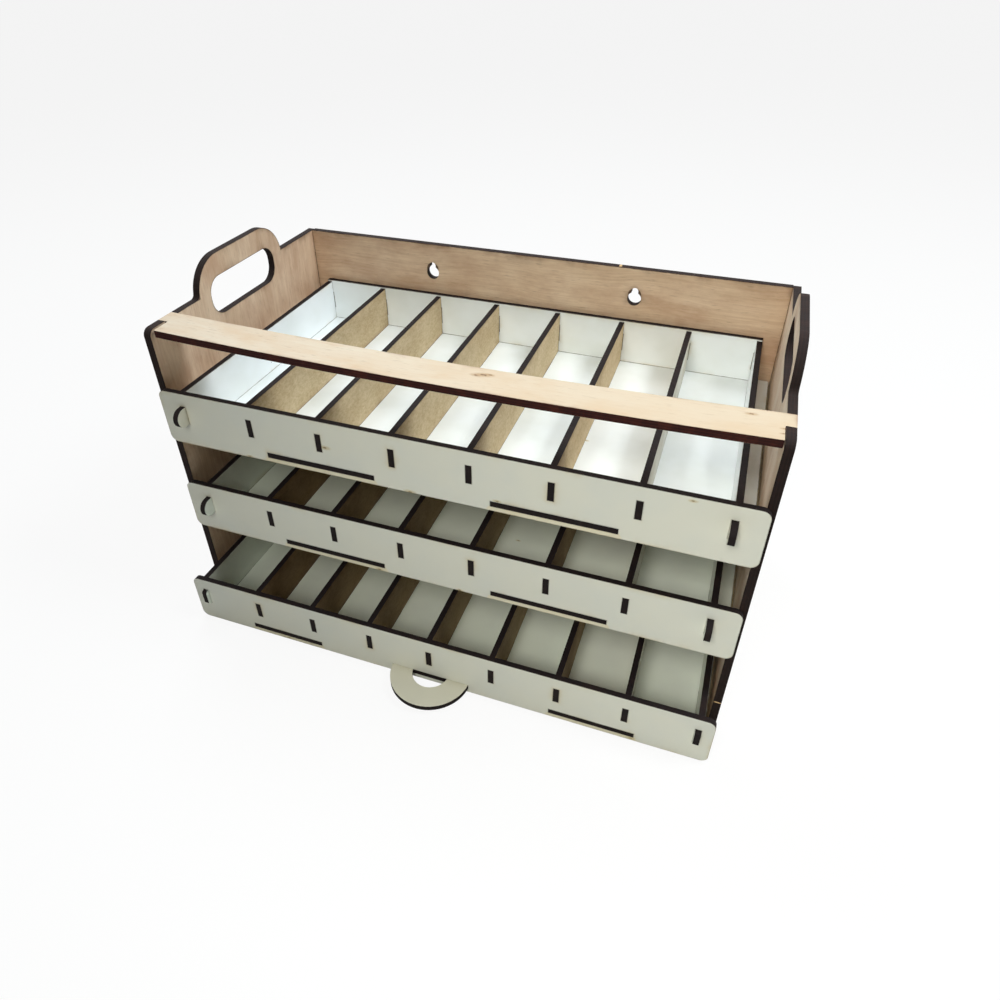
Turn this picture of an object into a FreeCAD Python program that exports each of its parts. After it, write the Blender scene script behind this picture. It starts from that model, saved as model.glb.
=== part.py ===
# Hobby workstation organizer: a flat-pack stand with three pull-out trays for jars and tins.
# A plywood frame (two side panels with hand holes, back panel, front crossbar) and a thin base
# plate are joined by tabs in notches. Three trays of faced fibreboard slide on it, each with a
# front panel, floor, back wall, two end walls and a row of dividers, joined the same way.
#
# The model frame: +X right, +Y to the back, +Z up. The origin is on the table, midway between
# the side panels and midway along their depth. All lengths are millimetres.
import FreeCAD, Part
import os
import re
import Sketcher

# ----------------------------------------------------------------- driving sizes
SIZES = [
    # frame sheet goods
    ("ply_thickness", 4.0),          # side panels, back panel, crossbar
    ("board_thickness", 3.0),        # trays, runners, base plate
    ("joint_clearance", 0.1),        # a slot is larger than its tab by this on each side
    # frame
    ("inner_width", 295.0),          # between the side panels
    ("side_depth", 158.0),           # front edge to rear edge of a side panel
    ("side_height", 181.5),          # table to the low top edge of a side panel
    ("side_corner_radius", 4.0),
    ("handle_rise", 18.5),           # handle top above the low top edge
    ("handle_width", 78.0),
    ("handle_shoulder_radius", 20.0),
    ("handle_foot_radius", 3.0),
    ("handle_grip", 12.2),           # wood above the hand hole
    ("hand_hole_length", 60.0),
    ("hand_hole_height", 20.8),
    ("hand_hole_radius", 9.0),
    ("back_setback", 3.0),           # side panel's rear edge behind the back panel's front face
    ("back_tab_length", 25.0),
    ("back_tab_first", 22.0),        # height of the lowest tab's lower end
    ("back_tab_pitch", 60.0),
    ("back_tab_count", 3),
    ("keyhole_spacing", 127.0),
    ("keyhole_drop", 18.0),          # head hole's centre below the back panel's top edge
    ("keyhole_head_radius", 4.0),
    ("keyhole_neck_radius", 2.0),
    ("keyhole_neck_rise", 4.6),      # neck end's centre above the head hole's centre
    ("crossbar_width", 20.5),
    ("crossbar_inset", 1.4),         # crossbar's front edge behind the side panels' front edges
    ("crossbar_tab", 10.0),
    ("base_tab_length", 30.0),
    ("base_tab_inset", 24.0),        # from the side panel's front edge, and from the back panel
    ("base_rear_tab_offset", 85.0),  # from the middle to a rear tab's centre
    ("runner_width", 8.0),
    ("runner_tab_length", 20.0),
    ("runner_tab_inset", 20.0),
    # trays
    ("tray_pitch", 59.0),            # from one tray to the next above
    ("slide_clearance", 0.3),        # under a tray's floor, and behind its closed front panel
    ("side_play", 1.0),              # floor's edge to the side panel
    ("rear_play", 1.0),              # floor's rear edge to the back panel when closed
    ("front_overlap", 2.5),          # front panel's ends in front of the side panels' edges
    ("front_height", 31.0),
    ("front_skirt", 2.5),            # front panel below the floor's underside
    ("front_corner_radius", 4.0),
    ("floor_corner_radius", 2.0),
    ("back_wall_rise", 1.0),         # back wall above the dividers
    ("wall_tab_height", 10.2),       # front and rear tabs of dividers and end walls
    ("foot_tab_length", 20.0),       # lower tabs of dividers and end walls
    ("foot_tab_inset", 14.0),
    ("back_wall_tab_length", 30.0),
    ("back_wall_tab_offset", 60.0),
    ("upper_compartments", 7),
    ("upper_wall_inset", 9.325),     # side panel to an end wall's outer face
    ("upper_floor_tab_length", 60.0),
    ("upper_floor_tab_offset", 60.0),
    ("upper_ear_reach", 7.2),        # end wall's ear in front of the front panel
    ("upper_ear_radius", 5.0),
    ("lower_compartments", 8),
    ("lower_wall_inset", 3.52),
    ("lower_floor_tab_length", 45.0),
    ("lower_floor_tab_offset", 90.3),
    ("lower_ear_reach", 2.3),
    ("lower_ear_radius", 2.0),
    ("ring_radius", 22.5),           # pull ring at the middle of the bottom tray
    ("ring_hole_radius", 10.2),
    ("bottom_tray_pull", 16.5),      # the bottom tray stands this far out at rest
]

document = FreeCAD.newDocument("organizer")
sheet = document.addObject("Spreadsheet::Sheet", "sizes")
for row, (alias, amount) in enumerate(SIZES, start=1):
    sheet.set(f"A{row}", alias)
    sheet.set(f"B{row}", str(amount))
    sheet.setAlias(f"B{row}", alias)
document.recompute()
ALIASES = {alias for alias, amount in SIZES}


def formula(text):
    """The same formula with each size named in full, as an expression needs it."""
    return re.sub(r"[a-z_]+", lambda word: f"sizes.{word[0]}" if word[0] in ALIASES else word[0], text)


def value(text):
    """What a formula of sizes comes to."""
    return float(sheet.evalExpression(formula(text)))


# ----------------------------------------------------------------- sizes that follow from them
SIDE_X = "(inner_width / 2)"                                 # a side panel's inner face
OUTER_X = "(inner_width / 2 + ply_thickness)"
MIDDLE_Y = "(side_depth / 2)"
BACK_Y = "(side_depth - back_setback)"                       # back panel's front face
HANDLE_TOP = "(side_height + handle_rise)"
HAND_HOLE_Z = "(side_height + handle_rise - handle_grip - hand_hole_height / 2)"
CROSSBAR_Z = "(side_height - ply_thickness)"
CROSSBAR_REAR = "(crossbar_inset + crossbar_width)"
FRONT_WIDTH = "(inner_width + 2 * front_overlap)"
FLOOR_DEPTH = "(side_depth - back_setback + slide_clearance - rear_play)"
TRAY_DEPTH = f"({FLOOR_DEPTH} - board_thickness)"            # front panel to back wall, clear
WALL_HEIGHT = "(front_height - front_skirt - board_thickness)"
FIRST_FLOOR_Z = "(board_thickness + slide_clearance + board_thickness)"   # top of the lowest floor
WALL_TAB_Z = f"({WALL_HEIGHT} / 2 - wall_tab_height / 2)"
REAR_FOOT_Y = f"({TRAY_DEPTH} - foot_tab_inset - foot_tab_length)"
RUNNER_LENGTH = f"({BACK_Y} - slide_clearance)"


# ----------------------------------------------------------------- drawing helpers
def new_body(name):
    body = document.addObject("PartDesign::Body", name)
    body.Label = name
    return body


def place(body, x, y, z):
    """Put a body at three formulas, counted from the table, the middle and the front edges."""
    for axis, text in (("x", x), ("y", f"{y} - {MIDDLE_Y}"), ("z", z)):
        body.setExpression(f"Placement.Base.{axis}", formula(text))


def new_sketch(body, plane, name):
    sketch = body.newObject("Sketcher::SketchObject", f"{body.Name}_{name}")
    origin_plane = next(item for item in body.Origin.OriginFeatures if item.Role == plane)
    sketch.AttachmentSupport = (origin_plane, "")
    sketch.MapMode = "FlatFace"
    return sketch


def bind(sketch, kind, label, text, *where):
    """One dimension of a sketch, bound to a formula of sizes."""
    index = sketch.addConstraint(Sketcher.Constraint(kind, *where, value(text)))
    sketch.renameConstraint(index, label)
    sketch.setExpression(f"Constraints.{label}", formula(text))


def profile(sketch, label, corners, bulges=()):
    """A closed outline through corners, each a pair of formulas, counter-clockwise.

    bulges names the sides that are arcs: {side number: (centre u, centre v)}.
    """
    points = [FreeCAD.Vector(value(u), value(v), 0) for u, v in corners]
    first = sketch.GeometryCount
    count = len(points)
    tips = []
    for side, start in enumerate(points):
        end = points[(side + 1) % count]
        if side in bulges:
            centre = FreeCAD.Vector(*[value(text) for text in bulges[side]], 0)
            outward = FreeCAD.Vector(end.y - start.y, start.x - end.x, 0).normalize()
            middle = centre + outward * (start - centre).Length
            sketch.addGeometry(Part.Arc(start, middle, end), False)
        else:
            sketch.addGeometry(Part.LineSegment(start, end), False)
        tips.append((tip_number(sketch, first + side, start), tip_number(sketch, first + side, end)))
    for side, (u, v) in enumerate(corners):
        previous = (side - 1) % count
        join = (first + previous, tips[previous][1], first + side, tips[side][0])
        sketch.addConstraint(Sketcher.Constraint("Coincident", *join))
        bind(sketch, "DistanceX", f"{label}_u{side}", u, -1, 1, first + side, tips[side][0])
        bind(sketch, "DistanceY", f"{label}_v{side}", v, -1, 1, first + side, tips[side][0])
    for side in bulges:
        chord = points[(side + 1) % count] - points[side]
        kind = "DistanceY" if abs(chord.x) >= abs(chord.y) else "DistanceX"
        text = bulges[side][1] if kind == "DistanceY" else bulges[side][0]
        bind(sketch, kind, f"{label}_c{side}", text, -1, 1, first + side, 3)


def tip_number(sketch, geometry, point):
    """Which end of a line or arc lies at a point: 1 for its start, 2 for its end."""
    return 1 if sketch.getPoint(geometry, 1).isEqual(point, 1e-5) else 2


def rectangle(sketch, label, left, bottom, width, height):
    """A rectangle from its lower left corner, width and height, all formulas."""
    right = f"{left} + {width}"
    top = f"{bottom} + {height}"
    profile(sketch, label, [(left, bottom), (right, bottom), (right, top), (left, top)])


def pad(body, sketch, thickness, side="One side", reverse=False):
    feature = body.newObject("PartDesign::Pad", f"{sketch.Name}_pad")
    feature.Profile = sketch
    feature.setExpression("Length", formula(thickness))
    feature.SideType = side
    feature.Reversed = reverse
    feature.Refine = True
    document.recompute()
    return feature


def cut(body, sketch):
    """A pocket right through the sheet, to both sides of its sketch."""
    before = body.Shape.Volume
    feature = body.newObject("PartDesign::Pocket", f"{sketch.Name}_pocket")
    feature.Profile = sketch
    feature.SideType = "Symmetric"
    feature.Type = "ThroughAll"
    feature.Refine = True
    document.recompute()
    if body.Shape.Volume >= before:
        raise RuntimeError(f"{sketch.Name} cuts nothing")
    return feature


def repeat(body, feature, sketch, axis, count, pitch):
    """A row of copies of a feature along a sketch axis, H_Axis or V_Axis."""
    pattern = body.newObject("PartDesign::LinearPattern", f"{feature.Name}_row")
    pattern.Originals = [feature]
    pattern.Direction = (sketch, [axis])
    pattern.Mode = "Spacing"
    pattern.setExpression("Offset", formula(pitch))
    pattern.setExpression("Occurrences", formula(count))
    body.Tip = pattern
    document.recompute()
    return pattern


def mirror(body, features, plane):
    """Copies of features on the other side of one of the body's own planes."""
    pattern = body.newObject("PartDesign::Mirrored", f"{features[0].Name}_mirror")
    pattern.Originals = features
    origin_plane = next(item for item in body.Origin.OriginFeatures if item.Role == plane)
    pattern.MirrorPlane = (origin_plane, [""])
    body.Tip = pattern
    document.recompute()
    return pattern


def round_edges(body, radius, axis, chosen):
    """Round the edges that run along an axis, x, y or z, and whose middle is chosen."""
    base = body.Tip
    names = []
    for number, edge in enumerate(base.Shape.Edges, start=1):
        if edge.Curve.TypeId != "Part::GeomLine":
            continue
        run = edge.Vertexes[-1].Point - edge.Vertexes[0].Point
        along = abs(getattr(run, axis)) > 0.999 * run.Length
        if along and chosen(edge.CenterOfMass):
            names.append(f"Edge{number}")
    if not names:
        raise RuntimeError(f"{body.Name} has no edge to round")
    feature = body.newObject("PartDesign::Fillet", f"{body.Name}_round{len(body.Group)}")
    feature.Base = (base, names)
    feature.setExpression("Radius", formula(radius))
    document.recompute()
    return feature


def near(number, text):
    return abs(number - value(text)) < 1e-3


# ----------------------------------------------------------------- frame
def side_panel(name, x):
    """A side panel: an upright plate whose top carries a hand grip like a low arch."""
    body = new_body(name)
    outline = new_sketch(body, "YZ_Plane", "outline")
    rectangle(outline, "plate", "0", "0", "side_depth", "side_height")
    pad(body, outline, "ply_thickness")

    grip = new_sketch(body, "YZ_Plane", "grip")
    left = f"{MIDDLE_Y} - handle_width / 2"
    right = f"{MIDDLE_Y} + handle_width / 2"
    spring = f"{HANDLE_TOP} - handle_shoulder_radius"
    inner_left = f"{left} + handle_shoulder_radius"
    inner_right = f"{right} - handle_shoulder_radius"
    corners = [(left, spring), (right, spring), (inner_right, HANDLE_TOP), (inner_left, HANDLE_TOP)]
    profile(grip, "arch", corners, {
        1: (inner_right, spring),
        3: (inner_left, spring)})
    pad(body, grip, "ply_thickness")

    def at_foot(point):
        beside = abs(point.y - value(MIDDLE_Y)) < value("handle_width / 2 + 1")
        return near(point.z, "side_height") and beside
    round_edges(body, "handle_foot_radius", "x", at_foot)
    round_edges(body, "side_corner_radius", "x",
                lambda point: near(point.y, "0") and near(point.z, "side_height"))

    hole = new_sketch(body, "YZ_Plane", "hand_hole")
    low = f"{HAND_HOLE_Z} - hand_hole_height / 2"
    rectangle(hole, "hole", f"{MIDDLE_Y} - hand_hole_length / 2", low,
              "hand_hole_length", "hand_hole_height")
    cut(body, hole)

    def at_hole_corner(point):
        beside = near(abs(point.y - value(MIDDLE_Y)), "hand_hole_length / 2")
        return beside and near(abs(point.z - value(HAND_HOLE_Z)), "hand_hole_height / 2")
    round_edges(body, "hand_hole_radius", "x", at_hole_corner)

    notches = new_sketch(body, "YZ_Plane", "notches")
    rectangle(notches, "crossbar", f"{CROSSBAR_REAR} - crossbar_tab - joint_clearance", CROSSBAR_Z,
              "crossbar_tab + 2 * joint_clearance", "ply_thickness")
    base_height = "board_thickness + joint_clearance"
    base_length = "base_tab_length + 2 * joint_clearance"
    rectangle(notches, "base_front", "base_tab_inset - joint_clearance", "0", base_length, base_height)
    rear = f"{BACK_Y} - base_tab_inset - base_tab_length - joint_clearance"
    rectangle(notches, "base_rear", rear, "0", base_length, base_height)
    for tray in (1, 2):
        low = f"{FIRST_FLOOR_Z} + {tray} * tray_pitch - 2 * board_thickness - slide_clearance"
        for end, start in (("front", "runner_tab_inset"),
                           ("rear", f"{RUNNER_LENGTH} - runner_tab_inset - runner_tab_length")):
            rectangle(notches, f"runner{tray}_{end}", f"{start} - joint_clearance",
                      f"{low} - joint_clearance", "runner_tab_length + 2 * joint_clearance",
                      "board_thickness + 2 * joint_clearance")
    cut(body, notches)

    back_notch = new_sketch(body, "YZ_Plane", "back_notch")
    rectangle(back_notch, "notch", f"{BACK_Y} - joint_clearance", "back_tab_first - joint_clearance",
              "back_setback + joint_clearance", "back_tab_length + 2 * joint_clearance")
    repeat(body, cut(body, back_notch), back_notch, "V_Axis", "back_tab_count", "back_tab_pitch")
    place(body, x, "0", "0")


def back_panel():
    """The back panel, with tabs into both side panels and two keyholes to hang the stand by."""
    body = new_body("back_panel")
    outline = new_sketch(body, "XZ_Plane", "outline")
    rectangle(outline, "plate", f"-{SIDE_X} + joint_clearance", "0",
              "inner_width - 2 * joint_clearance", "side_height")
    pad(body, outline, "ply_thickness")

    tabs = new_sketch(body, "XZ_Plane", "tabs")
    rectangle(tabs, "tab", f"-{OUTER_X}", "back_tab_first",
              f"2 * {OUTER_X}", "back_tab_length")
    tab = pad(body, tabs, "ply_thickness")
    repeat(body, tab, tabs, "V_Axis", "back_tab_count", "back_tab_pitch")

    head = new_sketch(body, "XZ_Plane", "keyhole_head")
    centre = FreeCAD.Vector(value("keyhole_spacing / 2"), value("side_height - keyhole_drop"), 0)
    upright = FreeCAD.Vector(0, 0, 1)
    head.addGeometry(Part.Circle(centre, upright, value("keyhole_head_radius")), False)
    bind(head, "DistanceX", "head_x", "keyhole_spacing / 2", -1, 1, 0, 3)
    bind(head, "DistanceY", "head_z", "side_height - keyhole_drop", -1, 1, 0, 3)
    bind(head, "Radius", "head_radius", "keyhole_head_radius", 0)
    head_cut = cut(body, head)

    neck = new_sketch(body, "XZ_Plane", "keyhole_neck")
    left = "keyhole_spacing / 2 - keyhole_neck_radius"
    right = "keyhole_spacing / 2 + keyhole_neck_radius"
    low = "side_height - keyhole_drop"
    high = f"{low} + keyhole_neck_rise"
    profile(neck, "neck", [(left, low), (right, low), (right, high), (left, high)],
            {2: ("keyhole_spacing / 2", high)})
    neck_cut = cut(body, neck)
    mirror(body, [head_cut, neck_cut], "YZ_Plane")

    notches = new_sketch(body, "XZ_Plane", "base_notches")
    for side, sign in (("left", "-1"), ("right", "1")):
        start = f"{sign} * base_rear_tab_offset - base_tab_length / 2 - joint_clearance"
        rectangle(notches, side, start, "0", "base_tab_length + 2 * joint_clearance",
                  "board_thickness + joint_clearance")
    cut(body, notches)
    place(body, "0", f"{BACK_Y} + ply_thickness", "0")


def front_crossbar():
    """The flat bar across the top front, whose rear half ends in tabs let into the side panels."""
    body = new_body("front_crossbar")
    outline = new_sketch(body, "XY_Plane", "outline")
    rectangle(outline, "bar", f"-{SIDE_X} + joint_clearance", "crossbar_inset",
              "inner_width - 2 * joint_clearance", "crossbar_width")
    pad(body, outline, "ply_thickness")
    tabs = new_sketch(body, "XY_Plane", "tabs")
    rectangle(tabs, "tabs", f"-{OUTER_X}", f"{CROSSBAR_REAR} - crossbar_tab",
              f"2 * {OUTER_X}", "crossbar_tab")
    pad(body, tabs, "ply_thickness")
    place(body, "0", "0", CROSSBAR_Z)


def base_plate():
    """The thin plate between the side panels' feet. The bottom tray's floor slides on it."""
    body = new_body("base_plate")
    outline = new_sketch(body, "XY_Plane", "outline")
    rectangle(outline, "plate", f"-{SIDE_X} + joint_clearance", "0",
              "inner_width - 2 * joint_clearance", f"{BACK_Y} - joint_clearance")
    pad(body, outline, "board_thickness")
    side_tabs = new_sketch(body, "XY_Plane", "side_tabs")
    rectangle(side_tabs, "front", f"-{OUTER_X}", "base_tab_inset", f"2 * {OUTER_X}", "base_tab_length")
    rectangle(side_tabs, "rear", f"-{OUTER_X}", f"{BACK_Y} - base_tab_inset - base_tab_length",
              f"2 * {OUTER_X}", "base_tab_length")
    pad(body, side_tabs, "board_thickness")
    rear_tabs = new_sketch(body, "XY_Plane", "rear_tabs")
    for side, sign in (("left", "-1"), ("right", "1")):
        rectangle(rear_tabs, side, f"{sign} * base_rear_tab_offset - base_tab_length / 2", MIDDLE_Y,
                  "base_tab_length", f"{BACK_Y} + ply_thickness - {MIDDLE_Y}")
    pad(body, rear_tabs, "board_thickness")
    place(body, "0", "0", "0")


def runner(name, side, tray):
    """A strip inside a side panel under a tray's floor, held by two tabs through the panel."""
    body = new_body(name)
    inner = f"{SIDE_X} - runner_width"
    strip = "runner_width - joint_clearance"
    tab = "runner_width + ply_thickness"
    outline = new_sketch(body, "XY_Plane", "outline")
    tabs = new_sketch(body, "XY_Plane", "tabs")
    strip_left = inner if side == "right" else f"-({inner}) - ({strip})"
    tab_left = inner if side == "right" else f"-({inner}) - ({tab})"
    rectangle(outline, "strip", strip_left, "0", strip, RUNNER_LENGTH)
    rectangle(tabs, "front", tab_left, "runner_tab_inset", tab, "runner_tab_length")
    rectangle(tabs, "rear", tab_left, f"{RUNNER_LENGTH} - runner_tab_inset - runner_tab_length",
              tab, "runner_tab_length")
    pad(body, outline, "board_thickness")
    pad(body, tabs, "board_thickness")
    place(body, "0", "0", f"{FIRST_FLOOR_Z} + {tray} * tray_pitch - 2 * board_thickness - slide_clearance")


# ----------------------------------------------------------------- trays
class Tray:
    """One tray's own sizes: its level above the lowest, and whether it is an upper or lower one."""

    def __init__(self, name, level, family, pull):
        self.name = name
        self.floor_z = f"{FIRST_FLOOR_Z} + {level} * tray_pitch"
        self.front_y = f"-slide_clearance - {pull}"
        self.family = family
        self.half_width = f"({SIDE_X} - {family}_wall_inset)"
        self.first_wall = f"(-{self.half_width} + board_thickness / 2)"
        self.pitch = f"((2 * {self.half_width} - board_thickness) / {family}_compartments)"
        self.walls = f"({family}_compartments + 1)"
        self.has_ring = family == "lower"

    def place(self, body, x="0", y="0", z="0"):
        """Put a body at a point of the tray: y from the front panel's back face, z from the floor."""
        place(body, x, f"{self.front_y} + {y}", f"{self.floor_z} + {z}")


def wall_slots(body, tray):
    """A row of upright slots for the tabs of the end walls and dividers."""
    sketch = new_sketch(body, "XZ_Plane", "wall_slot")
    rectangle(sketch, "slot", f"{tray.first_wall} - board_thickness / 2 - joint_clearance",
              f"{WALL_TAB_Z} - joint_clearance", "board_thickness + 2 * joint_clearance",
              "wall_tab_height + 2 * joint_clearance")
    repeat(body, cut(body, sketch), sketch, "H_Axis", tray.walls, tray.pitch)


def tray_front(tray):
    """The front panel: rounded corners, a slot for each wall's tab and long slots for the floor's."""
    body = new_body(f"{tray.name}_front_panel")
    outline = new_sketch(body, "XZ_Plane", "outline")
    rectangle(outline, "panel", f"-{FRONT_WIDTH} / 2", "-board_thickness - front_skirt",
              FRONT_WIDTH, "front_height")
    pad(body, outline, "board_thickness")
    round_edges(body, "front_corner_radius", "y",
                lambda point: near(abs(point.x), f"{FRONT_WIDTH} / 2"))
    wall_slots(body, tray)
    long_slots = new_sketch(body, "XZ_Plane", "floor_slots")
    half_slot = f"{tray.family}_floor_tab_length / 2 + joint_clearance"
    slot_height = "board_thickness + 2 * joint_clearance"
    low = "-board_thickness - joint_clearance"
    for side, sign in (("left", "-1"), ("right", "1")):
        rectangle(long_slots, side, f"{sign} * {tray.family}_floor_tab_offset - ({half_slot})", low,
                  f"2 * ({half_slot})", slot_height)
    if tray.has_ring:
        rectangle(long_slots, "ring", "-ring_radius - joint_clearance", low,
                  "2 * (ring_radius + joint_clearance)", slot_height)
    cut(body, long_slots)
    tray.place(body)


def pull_ring(body):
    """The half-round pull ring in front of a floor, with a half-round hole for a finger."""
    centre_y = "(-board_thickness / 2)"
    ring = new_sketch(body, "XY_Plane", "ring")
    corners = [("-ring_radius", "0"), ("-ring_radius", centre_y), ("ring_radius", centre_y),
               ("ring_radius", "0")]
    profile(ring, "ring", corners, {1: ("0", centre_y)})
    pad(body, ring, "board_thickness", reverse=True)
    hole = new_sketch(body, "XY_Plane", "finger_hole")
    half_chord = "sqrt(ring_hole_radius ^ 2 - (board_thickness / 2) ^ 2)"
    profile(hole, "hole", [(f"-{half_chord}", "-board_thickness"), (half_chord, "-board_thickness")],
            {0: ("0", centre_y)})
    cut(body, hole)


def tray_floor(tray):
    """The floor: front tabs, notches for the back wall and two rows of slots for the walls' feet."""
    body = new_body(f"{tray.name}_floor")
    outline = new_sketch(body, "XY_Plane", "outline")
    rectangle(outline, "floor", f"-{SIDE_X} + side_play", "0", "inner_width - 2 * side_play", FLOOR_DEPTH)
    pad(body, outline, "board_thickness", reverse=True)
    round_edges(body, "floor_corner_radius", "z", lambda point: near(point.y, FLOOR_DEPTH))
    tabs = new_sketch(body, "XY_Plane", "tabs")
    for side, sign in (("left", "-1"), ("right", "1")):
        start = f"{sign} * {tray.family}_floor_tab_offset - {tray.family}_floor_tab_length / 2"
        rectangle(tabs, side, start, "-board_thickness", f"{tray.family}_floor_tab_length",
                  f"board_thickness + foot_tab_inset")
    pad(body, tabs, "board_thickness", reverse=True)
    if tray.has_ring:
        pull_ring(body)
    notches = new_sketch(body, "XY_Plane", "back_wall_notches")
    for side, sign in (("left", "-1"), ("right", "1")):
        start = f"{sign} * back_wall_tab_offset - back_wall_tab_length / 2 - joint_clearance"
        rectangle(notches, side, start, f"{TRAY_DEPTH} - joint_clearance",
                  "back_wall_tab_length + 2 * joint_clearance", "board_thickness + joint_clearance")
    cut(body, notches)
    for end, start in (("front", "foot_tab_inset"), ("rear", REAR_FOOT_Y)):
        feet = new_sketch(body, "XY_Plane", f"{end}_foot_slot")
        rectangle(feet, "slot", f"{tray.first_wall} - board_thickness / 2 - joint_clearance",
                  f"{start} - joint_clearance", "board_thickness + 2 * joint_clearance",
                  "foot_tab_length + 2 * joint_clearance")
        repeat(body, cut(body, feet), feet, "H_Axis", tray.walls, tray.pitch)
    tray.place(body)


def tray_back_wall(tray):
    """The back wall: slots for the dividers, open notches for the end walls, feet in the floor."""
    body = new_body(f"{tray.name}_back_wall")
    outline = new_sketch(body, "XZ_Plane", "outline")
    rectangle(outline, "wall", f"-{tray.half_width}", "0", f"2 * {tray.half_width}",
              f"{WALL_HEIGHT} + back_wall_rise")
    pad(body, outline, "board_thickness")
    feet = new_sketch(body, "XZ_Plane", "feet")
    for side, sign in (("left", "-1"), ("right", "1")):
        start = f"{sign} * back_wall_tab_offset - back_wall_tab_length / 2"
        rectangle(feet, side, start, "-board_thickness", "back_wall_tab_length",
                  f"board_thickness + {WALL_TAB_Z}")
    pad(body, feet, "board_thickness")
    wall_slots(body, tray)
    tray.place(body, y=FLOOR_DEPTH)


def tray_wall(tray, name, number, is_end):
    """An upright board from front to back: an end wall with an ear, or a divider."""
    body = new_body(f"{tray.name}_{name}")
    outline = new_sketch(body, "YZ_Plane", "outline")
    rectangle(outline, "wall", "0", "0", TRAY_DEPTH, WALL_HEIGHT)
    pad(body, outline, "board_thickness", side="Symmetric")
    reach = f"board_thickness + {tray.family}_ear_reach" if is_end else "board_thickness"
    tabs = new_sketch(body, "YZ_Plane", "tabs")
    rectangle(tabs, "through", f"-({reach})", WALL_TAB_Z,
              f"{reach} + {TRAY_DEPTH} + board_thickness", "wall_tab_height")
    pad(body, tabs, "board_thickness", side="Symmetric")
    feet = new_sketch(body, "YZ_Plane", "feet")
    for end, start in (("front", "foot_tab_inset"), ("rear", REAR_FOOT_Y)):
        rectangle(feet, end, start, "-board_thickness", "foot_tab_length",
                  f"board_thickness + {WALL_TAB_Z}")
    pad(body, feet, "board_thickness", side="Symmetric")
    if is_end:
        radius = f"min({tray.family}_ear_radius; wall_tab_height / 2 - joint_clearance)"
        round_edges(body, radius, "x", lambda point: near(point.y, f"-({reach})"))
    tray.place(body, x=f"{tray.first_wall} + {number} * {tray.pitch}")


def build_tray(tray):
    tray_front(tray)
    tray_floor(tray)
    tray_back_wall(tray)
    last = int(value(tray.walls)) - 1
    tray_wall(tray, "left_end_wall", 0, True)
    for number in range(1, last):
        tray_wall(tray, f"divider_{number}", number, False)
    tray_wall(tray, "right_end_wall", last, True)


# ----------------------------------------------------------------- the whole organizer
side_panel("left_side_panel", f"-{OUTER_X}")
side_panel("right_side_panel", SIDE_X)
back_panel()
front_crossbar()
base_plate()
for level, tray_name in ((1, "middle"), (2, "top")):
    for hand in ("left", "right"):
        runner(f"{tray_name}_{hand}_runner", hand, level)
build_tray(Tray("top", 2, "upper", "0"))
build_tray(Tray("middle", 1, "upper", "0"))
build_tray(Tray("bottom", 0, "lower", "bottom_tray_pull"))
document.recompute()

# ----------------------------------------------------------------- check and write
faulty = [item.Name for item in document.Objects if {"Invalid", "Error"} & set(item.State)]
if faulty:
    raise RuntimeError(f"failed: {faulty}")
os.makedirs("parts", exist_ok=True)
bodies = [item for item in document.Objects if item.TypeId == "PartDesign::Body"]
for body in bodies:
    shape = body.Shape
    if shape.isNull() or not shape.isValid() or len(shape.Solids) != 1:
        raise RuntimeError(f"{body.Label} is not one good solid")
    shape.exportStep(f"parts/{body.Label}.step")
print(len(bodies), "pieces written")
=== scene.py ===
# %% [markdown]
# # A laser-cut stand for paint jars
#
# The stand is a frame of thin plywood that carries three pull-out trays of white-faced fibreboard.
# Its 43 solid pieces come ready made, in metres, each already in its place. What is left to do
# here is the finish of every piece, a few shapes that a flat sheet model can't give, and the
# light, table and camera of a small studio.

# %% Load the solid model
import math
import bpy
import numpy as np
from mathutils import Matrix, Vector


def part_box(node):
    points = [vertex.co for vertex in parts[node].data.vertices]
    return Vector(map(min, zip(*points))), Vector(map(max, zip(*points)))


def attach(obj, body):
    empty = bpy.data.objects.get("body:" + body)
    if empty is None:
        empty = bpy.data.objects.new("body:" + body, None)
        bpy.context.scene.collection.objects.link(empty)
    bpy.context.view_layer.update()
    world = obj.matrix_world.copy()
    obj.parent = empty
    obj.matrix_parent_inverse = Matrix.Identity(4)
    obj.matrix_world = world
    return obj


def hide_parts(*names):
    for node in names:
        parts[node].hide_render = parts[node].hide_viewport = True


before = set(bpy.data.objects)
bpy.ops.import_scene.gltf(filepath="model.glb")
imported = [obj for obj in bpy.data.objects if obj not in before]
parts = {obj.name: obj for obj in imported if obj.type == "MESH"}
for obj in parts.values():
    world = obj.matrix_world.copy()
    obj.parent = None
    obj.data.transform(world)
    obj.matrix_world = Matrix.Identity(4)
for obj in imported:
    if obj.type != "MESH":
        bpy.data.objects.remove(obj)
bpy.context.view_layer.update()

MM = 1000.0  # millimetres in a metre

# %% [markdown]
# ## Small helpers for shader nodes
#
# A procedural finish is a chain of shader nodes: positions go in, colours come out. Placing nodes
# by hand in code is wordy, so a few helpers do it. `wire` joins a socket or writes a plain value,
# `add` makes one node, and `calc` makes one Math node and gives back its result.

# %% Helpers: wire, add and calc
AXES = {"x": 0, "y": 1, "z": 2}


def wire(tree, target, source):
    """Join source to the input target, or write it there if it is a plain number or colour."""
    if isinstance(source, bpy.types.NodeSocket):
        tree.links.new(source, target)
    else:
        target.default_value = source


def add(tree, kind, inputs=None, **options):
    """Make one shader node. inputs maps an input's name or number to a socket or value."""
    made = tree.nodes.new("ShaderNode" + kind)
    for option, choice in options.items():
        setattr(made, option, choice)
    for key, source in (inputs or {}).items():
        wire(tree, made.inputs[key], source)
    return made


def calc(tree, operation, *terms):
    """One Math node: the operation applied to one, two or three numbers or sockets."""
    return add(tree, "Math", dict(enumerate(terms)), operation=operation).outputs[0]


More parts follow.
